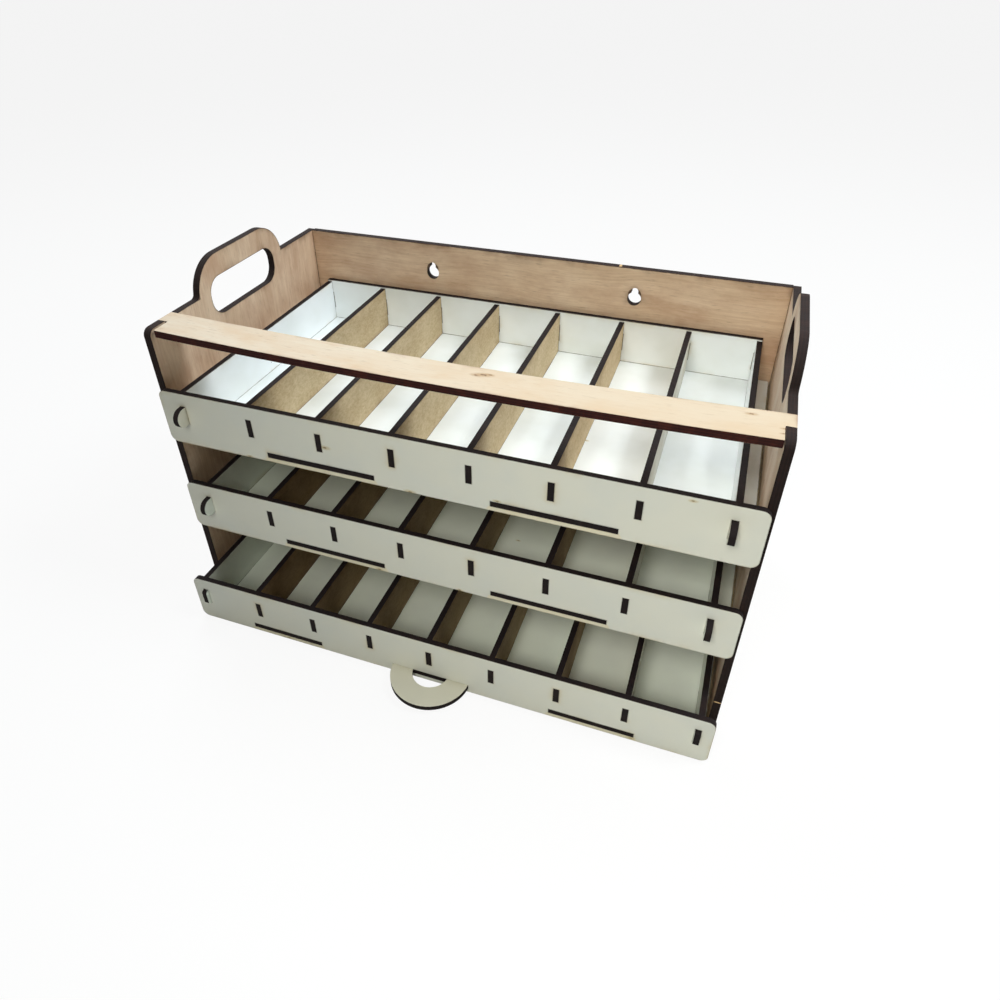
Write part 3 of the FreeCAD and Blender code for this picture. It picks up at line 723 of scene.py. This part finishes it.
def tray_slots(tray, dividers):
    """The rows of slots in a front panel: those of the upright boards, and the floor's two."""
    left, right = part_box(f"{tray}_left_end_wall"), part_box(f"{tray}_right_end_wall")
    spaces = len(dividers) + 1
    first = (left[0].x + left[1].x) / 2
    pitch = ((right[0].x + right[1].x) / 2 - first) / spaces
    low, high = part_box(dividers[0])
    foot = low.z + SHEET
    walls = row_of_slots(first, pitch, float(spaces), SLOT_HALF, (foot + high.z) / 2, WALL_TAB_HALF)
    reach, half_width = FLOOR_TABS[spaces]
    floor_tabs = row_of_slots(-reach, 2 * reach, 1.0, half_width, foot - SHEET / 2, SLOT_HALF)
    print(f"{tray} tray: {spaces} spaces of {pitch * MM:.2f} mm")
    return walls, floor_tabs


# %% [markdown]
# The trays are dressed one after the other. A board's box is trimmed by the tabs that stand out
# of it, so that the scorch follows the board's true edge. On the upright boards of the two
# lower trays, the painted shade grows lighter with every space to the right.

# %% Dress the trays, the runners and the base plate
LEAST_SHADE = 0.8


def dress_uprights(tray, dividers, film):
    """The end walls and the dividers of one tray, from left to right."""
    front_low, front_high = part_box(f"{tray}_front_panel")
    left_wall, right_wall = f"{tray}_left_end_wall", f"{tray}_right_end_wall"
    ear = (front_high.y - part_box(left_wall)[0].y) * MM
    # The last divider's duller film is painted shade; in the lower trays it is the pull ring's
    # white.
    last_film = SHADED_LAST_WHITE if tray == "top" else HANDLED_AND_SHADED_WHITE
    for place, upright in enumerate([left_wall] + dividers + [right_wall]):
        is_divider = upright in dividers
        share = 1.0 if tray == "top" else LEAST_SHADE * place / (len(dividers) + 1)
        browns = between(SHADED_PALE, BOARD_PALE, share), between(SHADED_DEEP, BOARD_DEEP, share)
        box = trimmed(upright, (0, 3 if is_divider else ear, 3), (0, 3, 0))
        finish_fibreboard(
            upright, "x", "y", 1 if upright in (left_wall, dividers[-1]) else -1, *box,
            browns=browns, white=last_film if upright == dividers[-1] else film,
            handled_before=front_low.y if tray == "top" and not is_divider else None)


for tray in ("top", "middle", "bottom"):
    dividers = sorted(name for name in parts if name.startswith(f"{tray}_divider"))
    walls, floor_tabs = tray_slots(tray, dividers)
    front, back, floor = (f"{tray}_{piece}" for piece in ("front_panel", "back_wall", "floor"))
    film = FILM_WHITE if tray == "top" else WARM_WHITE
    # The front panel's greyer white film is painted shade.
    finish_fibreboard(
        front, "y", "x", -1, *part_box(front), white=SHADED_FRONT_WHITE, corner=FRONT_CORNER, rim=0.25,
        cut_distance=nearest_of(walls, floor_tabs), marks=FRONT_MARKS[tray], strip_at=floor_tabs)
    finish_fibreboard(back, "y", "x", -1, *trimmed(back, (0, 0, 3)), white=film,
                      cut_distance=walls)
    ahead = (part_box(front)[1].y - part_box(floor)[0].y) * MM
    # The duller film in front of the bottom tray's front panel is painted shade on the pull ring.
    finish_fibreboard(
        floor, "z", "x", 1, *trimmed(floor, (0, ahead, 0)), white=film, marks=FLOOR_SPECKS[tray],
        mark_heart=SOOT, handled_before=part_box(front)[0].y if tray == "bottom" else None)
    dress_uprights(tray, dividers, film)

for name in sorted(name for name in parts if name.endswith("_runner")) + ["base_plate"]:
    grain = "x" if name == "base_plate" else "y"
    finish_fibreboard(name, "z", grain, 0, *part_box(name))
print("all fibreboard pieces are finished")

# %% [markdown]
# ## The front crossbar
#
# The crossbar is a thin strip that is pressed between two side panels, and it has sprung down a
# little in the middle. A surface that is carried along a path shows that: its section is a
# rectangle with slightly eased edges, and the path is a shallow parabola. At each end the
# section narrows to the tab that lies in the side panel's notch. The bar was cut a little short
# on its left, so there a sliver of the side panel shows beside its shoulder.

# %% Piece: the sprung crossbar
BOW, EASE = 0.0026, 0.0003
CUT_SHORT, PLAY, SHOULDER_GAP = 0.0017, 0.0003, 0.0001
TAB_DEPTH = 0.010
PLANK_STATIONS = 41


def eased_rectangle(low, high, ease, steps=3):
    """Section: four quarter circles of radius ease at the corners of a rectangle, in order."""
    angles = np.linspace(0.0, np.pi / 2, steps + 1)
    ring = []
    for quarter, (side_v, side_w) in enumerate(((1, 1), (0, 1), (0, 0), (1, 0))):
        centre = np.array([(high[0] - ease) if side_v else (low[0] + ease),
                           (high[1] - ease) if side_w else (low[1] + ease)])
        turned = angles + quarter * np.pi / 2
        ring.append(centre + ease * np.stack([np.cos(turned), np.sin(turned)], axis=1))
    return np.concatenate(ring)


def ring_faces(rows, ring):
    """Quads between rings: corner j of ring i, its neighbour, and the same two of ring i + 1."""
    i, j = np.meshgrid(np.arange(rows - 1), np.arange(ring), indexing="ij")
    after = (j + 1) % ring
    return np.stack([i * ring + j, i * ring + after,
                     (i + 1) * ring + after, (i + 1) * ring + j], axis=-1).reshape(-1, 4)


def carried_section(stations, sections, drops):
    """Grid point (i, j) = (station i, section i's point j, lowered by drop i). Ends are closed."""
    rows, ring = len(stations), sections.shape[1]
    points = np.empty((rows, ring, 3))
    points[:, :, 0] = stations[:, None]
    points[:, :, 1:] = sections
    points[:, :, 2] -= drops[:, None]
    faces = ring_faces(rows, ring).tolist()
    faces.append(list(range(ring))[::-1])
    faces.append([(rows - 1) * ring + j for j in range(ring)])
    return points.reshape(-1, 3), faces


def new_object(name, data):
    """Put an object with this data into the scene, at the origin."""
    made = bpy.data.objects.new(name, data)
    bpy.context.scene.collection.objects.link(made)
    return made


def make_mesh_object(name, points, faces):
    """A mesh object at the origin whose place is in its points."""
    mesh = bpy.data.meshes.new(name)
    mesh.from_pydata(points.tolist(), [], faces)
    mesh.validate()
    mesh.update()
    return new_object(name, mesh)


print("a section can be carried along a path")

# %% Build the crossbar
bar_low, bar_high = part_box("front_crossbar")
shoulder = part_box("left_side_panel")[1].x + SHOULDER_GAP
tab_front = bar_high.y - TAB_DEPTH
plank_left, plank_right = shoulder + CUT_SHORT, -shoulder - PLAY
stations = np.concatenate([[bar_low.x, plank_left],
                           np.linspace(plank_left, plank_right, PLANK_STATIONS),
                           [plank_right, bar_high.x]])
is_plank = np.zeros(len(stations), bool)
is_plank[2:-2] = True
plank = eased_rectangle((bar_low.y, bar_low.z), (bar_high.y, bar_high.z), EASE)
tab = eased_rectangle((tab_front, bar_low.z), (bar_high.y, bar_high.z), EASE)
bar_sections = np.where(is_plank[:, None, None], plank[None], tab[None])
bar_drops = BOW * np.clip(1.0 - (stations / shoulder) ** 2, 0.0, 1.0)
crossbar = make_mesh_object("sprung_crossbar", *carried_section(stations, bar_sections, bar_drops))
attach(crossbar, "frame")
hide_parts("front_crossbar")
print("crossbar sprung down by", BOW * MM, "mm,", len(crossbar.data.polygons), "faces")

# %% [markdown]
# Its veneer is the palest of all, cream with honey bands. One smeared knot is near its middle,
# and two small burns are by its right tab. The front edge is burnt to a deep red-brown. Because
# the grain lies along the bar, the same groups serve with other colours. The slow turn to brown
# on its right half is painted shade again: there the lamps alone would leave the bar too bright.

# %% Finish: cream plywood
BAR_TONES = {"Pale": colour(229, 216, 198), "Deep": colour(222, 202, 179),
             "Smoke": colour(218, 189, 157), "Smoky": 0.75}
BAR_SHADE, BAR_STAIN = colour(200, 182, 158), colour(120, 66, 40)
KNOT_RIM, KNOT_HEART = colour(176, 142, 104), colour(112, 84, 62)
BAR_CHAR, BAR_EMBER = colour(40, 14, 13), colour(74, 32, 24)
BAR_RELIEF = 0.0001
BAR_KNOTS = [((0.0205, -0.0630, 0.0), 0.0015), ((0.0172, -0.0642, 0.0), 0.0011),
             ((0.0232, -0.0621, 0.0), 0.0008), ((0.1340, -0.0617, 0.0), 0.0010),
             ((0.1470, -0.0695, 0.0), 0.0007), ((0.1466, -0.0732, 0.0), 0.0006)]


def cream_finish(knots):
    """Cream veneer with pin knots, and a red-brown burnt edge."""
    material, tree = new_material("plywood_cream")
    view = sheet_view(tree, "front_crossbar", bar_low, bar_high, "z", "x")
    veneer = place_group(tree, veneer_group, {"Position": view["own"], **BAR_TONES})
    rightward = ramp(tree, view["place"]["X"], -0.12, 0.15)
    face = stain(tree, rightward, 0.55, veneer["Colour"], BAR_SHADE)
    for place, size in knots:
        eye = place_group(tree, knot_group, {"Position": view["turned"], "Middle": place,
                                             "Radius": size})
        face = stain(tree, eye["Rim"], 0.55, face, KNOT_RIM)
        face = stain(tree, eye["Heart"], 0.8, face, KNOT_HEART)
    smoke = smoke_beside(tree, view, view["outline"], reach=0.7, patchy=0.8)
    face = stain(tree, smoke["Mask"], 0.7, face, BAR_STAIN)
    finish_sheet(tree, view, face, veneer["Roughness"], veneer["Height"], BAR_RELIEF,
                 BAR_CHAR, BAR_EMBER, PLIES)
    return material


crossbar.data.materials.append(cream_finish(BAR_KNOTS))
print("cream plywood with", len(BAR_KNOTS), "knots and burns")

# %% [markdown]
# ## Break-off nubs
#
# While a sheet is on the laser, every part hangs in it by two or three tiny uncut bridges. When
# it is pressed out they tear, and a pale stub of bare wood stays on the burnt edge. Each stub
# is a squashed sphere whose radius waves a little, half buried in the edge.

# %% Piece: break-off nubs
def torn_stub(centre, reach, waves, swing=0.12, rows=10, columns=20):
    """Point = centre + reach * (1 + swing * sin(waves * (u + 2 v))) * unit sphere (u, v)."""
    u, v = np.meshgrid(np.arange(columns) * 2 * np.pi / columns,
                       np.linspace(0.0, np.pi, rows + 2)[1:-1])
    swell = 1.0 + swing * np.sin(waves * (u + 2.0 * v))
    sphere = np.stack([np.sin(v) * np.cos(u), np.sin(v) * np.sin(u), np.cos(v)], axis=-1)
    grid = np.array(centre) + sphere * swell[..., None] * np.array(reach)
    poles = np.array(centre) + np.array([[0.0, 0.0, reach[2]], [0.0, 0.0, -reach[2]]])
    points = np.concatenate([grid.reshape(-1, 3), poles])
    faces = np.roll(ring_faces(rows, columns)[:, ::-1], 1, axis=1).tolist()
    top, bottom, last = rows * columns, rows * columns + 1, (rows - 1) * columns
    faces += [[top, j, (j + 1) % columns] for j in range(columns)]
    faces += [[bottom, last + (j + 1) % columns, last + j] for j in range(columns)]
    return points, faces


def bare_wood():
    """Raw torn fibres: the pressed fibres' speckle in the colours of bare birch."""
    material, tree = new_material("bare_wood")
    source = add(tree, "TexCoord")
    torn = place_group(tree, fibre_group, {"Position": source.outputs["Object"],
                                           "Pale": BIRCH_PALE, "Deep": BIRCH_DEEP})
    finish_shader(tree, torn["Colour"], 0.8, torn["Height"], BAR_RELIEF)
    return material


print("a stub has", len(torn_stub((0, 0, 0), (1, 1, 1), 3)[1]), "faces")

# %% Build the three nubs
BIRCH_PALE, BIRCH_DEEP = colour(240, 214, 170), colour(200, 158, 108)
STUBS = [((0.0535, 0.0780, 0.1815), (0.0008, 0.0018, 0.00035)),
         ((0.1495, -0.0790, 0.0233), (0.0018, 0.00022, 0.00035)),
         ((-0.1492, 0.0790, 0.0480), (0.0012, 0.00020, 0.00035))]
stub_points, stub_faces = [], []
for waves, (centre, reach) in enumerate(STUBS, start=3):
    points, faces = torn_stub(centre, reach, waves)
    start = sum(len(block) for block in stub_points)
    stub_points.append(points)
    stub_faces += [[corner + start for corner in face] for face in faces]
stubs = make_mesh_object("break_off_nubs", np.concatenate(stub_points), stub_faces)
stubs.data.materials.append(bare_wood())
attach(stubs, "frame")
print(len(STUBS), "nubs with", len(stub_faces), "faces")

# %% [markdown]
# ## The studio
#
# The stand is on a pale table. Cool daylight comes from a small window high on the right and two
# lamps behind. Warmer light comes from two lamps in front. One of them has a honeycomb grid
# that keeps its beam to the right, so that the fronts and the shaded trays darken to the left.
# The background is plain white: the camera, and mirror-like reflections, see a white sky, while
# the sky that lights the stand is almost dark.

# %% Sky and table
DIM_SKY, WHITE = (1.0, 0.97, 0.88, 1.0), (1.0, 1.0, 1.0, 1.0)
SKY_STRENGTH = 0.01
TABLE_HALF, TABLE_GAP = 6.0, 0.0002


def build_sky(strength):
    """Dim for light, white for what the camera sees and what a gloss mirrors."""
    world = bpy.data.worlds.new("studio_sky")
    world.use_nodes = True
    tree = world.node_tree
    tree.nodes.clear()
    ray = add(tree, "LightPath").outputs
    mirrored = calc(tree, "MAXIMUM", ray["Is Glossy Ray"], ray["Is Transmission Ray"])
    seen = calc(tree, "MAXIMUM", ray["Is Camera Ray"], mirrored)
    dim = add(tree, "Background", {"Color": DIM_SKY, "Strength": strength})
    white = add(tree, "Background", {"Color": WHITE, "Strength": 1.0})
    mixed = add(tree, "MixShader", {0: seen, 1: dim.outputs[0], 2: white.outputs[0]})
    add(tree, "OutputWorld", {"Surface": mixed.outputs[0]})
    bpy.context.scene.world = world


def build_table():
    """A wide pale sheet under the feet. Most of what the camera sees of it is its own white."""
    corners = [(-1, -1), (1, -1), (1, 1), (-1, 1)]
    points = np.array([[x * TABLE_HALF, y * TABLE_HALF, -TABLE_GAP] for x, y in corners])
    table = make_mesh_object("table", points, [[0, 1, 2, 3]])
    material, tree = new_material("pale_table")
    ray = add(tree, "LightPath").outputs
    paleness = calc(tree, "ADD", calc(tree, "MULTIPLY", ray["Is Camera Ray"], 0.38), 0.6)
    matt = add(tree, "BsdfDiffuse", {"Color": paleness})
    white = add(tree, "Emission", {"Color": WHITE, "Strength": 1.0})
    share = calc(tree, "MULTIPLY", ray["Is Camera Ray"], 0.9)
    mixed = add(tree, "MixShader", {0: share, 1: matt.outputs[0], 2: white.outputs[0]})
    add(tree, "OutputMaterial", {"Surface": mixed.outputs[0]})
    table.data.materials.append(material)


build_sky(SKY_STRENGTH)
build_table()
print("white sky and pale table")

# %% Lamps
DAYLIGHT, LAMPLIGHT = (0.92, 0.98, 1.0), (1.0, 0.99, 0.88)
MIDDLE, RIGHT_SIDE = (0.0, 0.0, 0.1), (0.22, -0.05, 0.08)
# name, place, the point it looks at, side in metres, watts, colour, spread in degrees
LAMPS = [("window_right", (0.75, 0.10, 1.05), MIDDLE, 0.35, 8.4, DAYLIGHT, 180),
         ("rear_left_lamp", (-0.40, 0.40, 1.00), MIDDLE, 0.4, 5.2, DAYLIGHT, 180),
         ("rear_right_lamp", (0.45, 0.45, 1.05), MIDDLE, 0.4, 1.75, DAYLIGHT, 180),
         ("front_lamp", (0.0, -0.95, 0.62), MIDDLE, 0.3, 1.07, LAMPLIGHT, 180),
         ("grid_lamp", (0.05, -0.60, 0.65), RIGHT_SIDE, 0.3, 0.56, LAMPLIGHT, 70)]


def looking_along(away):
    """The turn of a lamp whose local Z points along away and whose X stays level."""
    back = away / np.linalg.norm(away)
    right = np.cross([0.0, 0.0, 1.0], back)
    right = right / np.linalg.norm(right)
    return Matrix(np.stack([right, np.cross(back, right), back], axis=1).tolist())


def soft_lamp(name, place, aim, size, watts, tint, spread):
    """A square lamp at a place that looks at a point. A spread under 180 is a honeycomb grid."""
    data = bpy.data.lights.new(name, "AREA")
    data.shape = "SQUARE"
    data.size = size
    data.energy = watts
    data.spread = math.radians(spread)
    data.color = tint
    turn = looking_along(np.subtract(place, aim)).to_4x4()
    new_object(name, data).matrix_world = Matrix.Translation(place) @ turn


for lamp in LAMPS:
    soft_lamp(*lamp)
print(len(LAMPS), "lamps of", round(sum(lamp[4] for lamp in LAMPS), 2), "watts together")

# %% [markdown]
# ## The camera
#
# The camera stands in front, to the right and above, where a person would stand who looks into
# the trays. Its three axes, its place and its lens are given as numbers, and all the straight
# edges of the stand line up with them. The small shift keeps the upright lines as they lean.

# %% Camera
CAMERA_PLACE = (0.119244, -0.333689, 0.340408)
CAMERA_RIGHT = np.array([0.9417964, 0.3360903, -0.0079301])
CAMERA_DOWN = np.array([0.1917608, -0.5564305, -0.8084633])
CAMERA_VALUES = {"sensor_width": 36.0, "lens": 26.617, "shift_x": 0.01458, "shift_y": -0.0371,
                 "clip_start": 0.01}
camera_data = bpy.data.cameras.new("studio_camera")
for setting, value in CAMERA_VALUES.items():
    setattr(camera_data, setting, value)
camera = new_object("studio_camera", camera_data)
ahead = np.cross(CAMERA_RIGHT, CAMERA_DOWN)
camera_turn = Matrix(np.stack([CAMERA_RIGHT, -CAMERA_DOWN, -ahead], axis=1).tolist())
camera.matrix_world = Matrix.Translation(CAMERA_PLACE) @ camera_turn.to_4x4()
bpy.context.scene.camera = camera
bpy.context.scene.view_settings.view_transform = "Standard"
print("camera tilt:", round(float(np.degrees(np.arcsin(ahead[2]))), 1), "degrees")
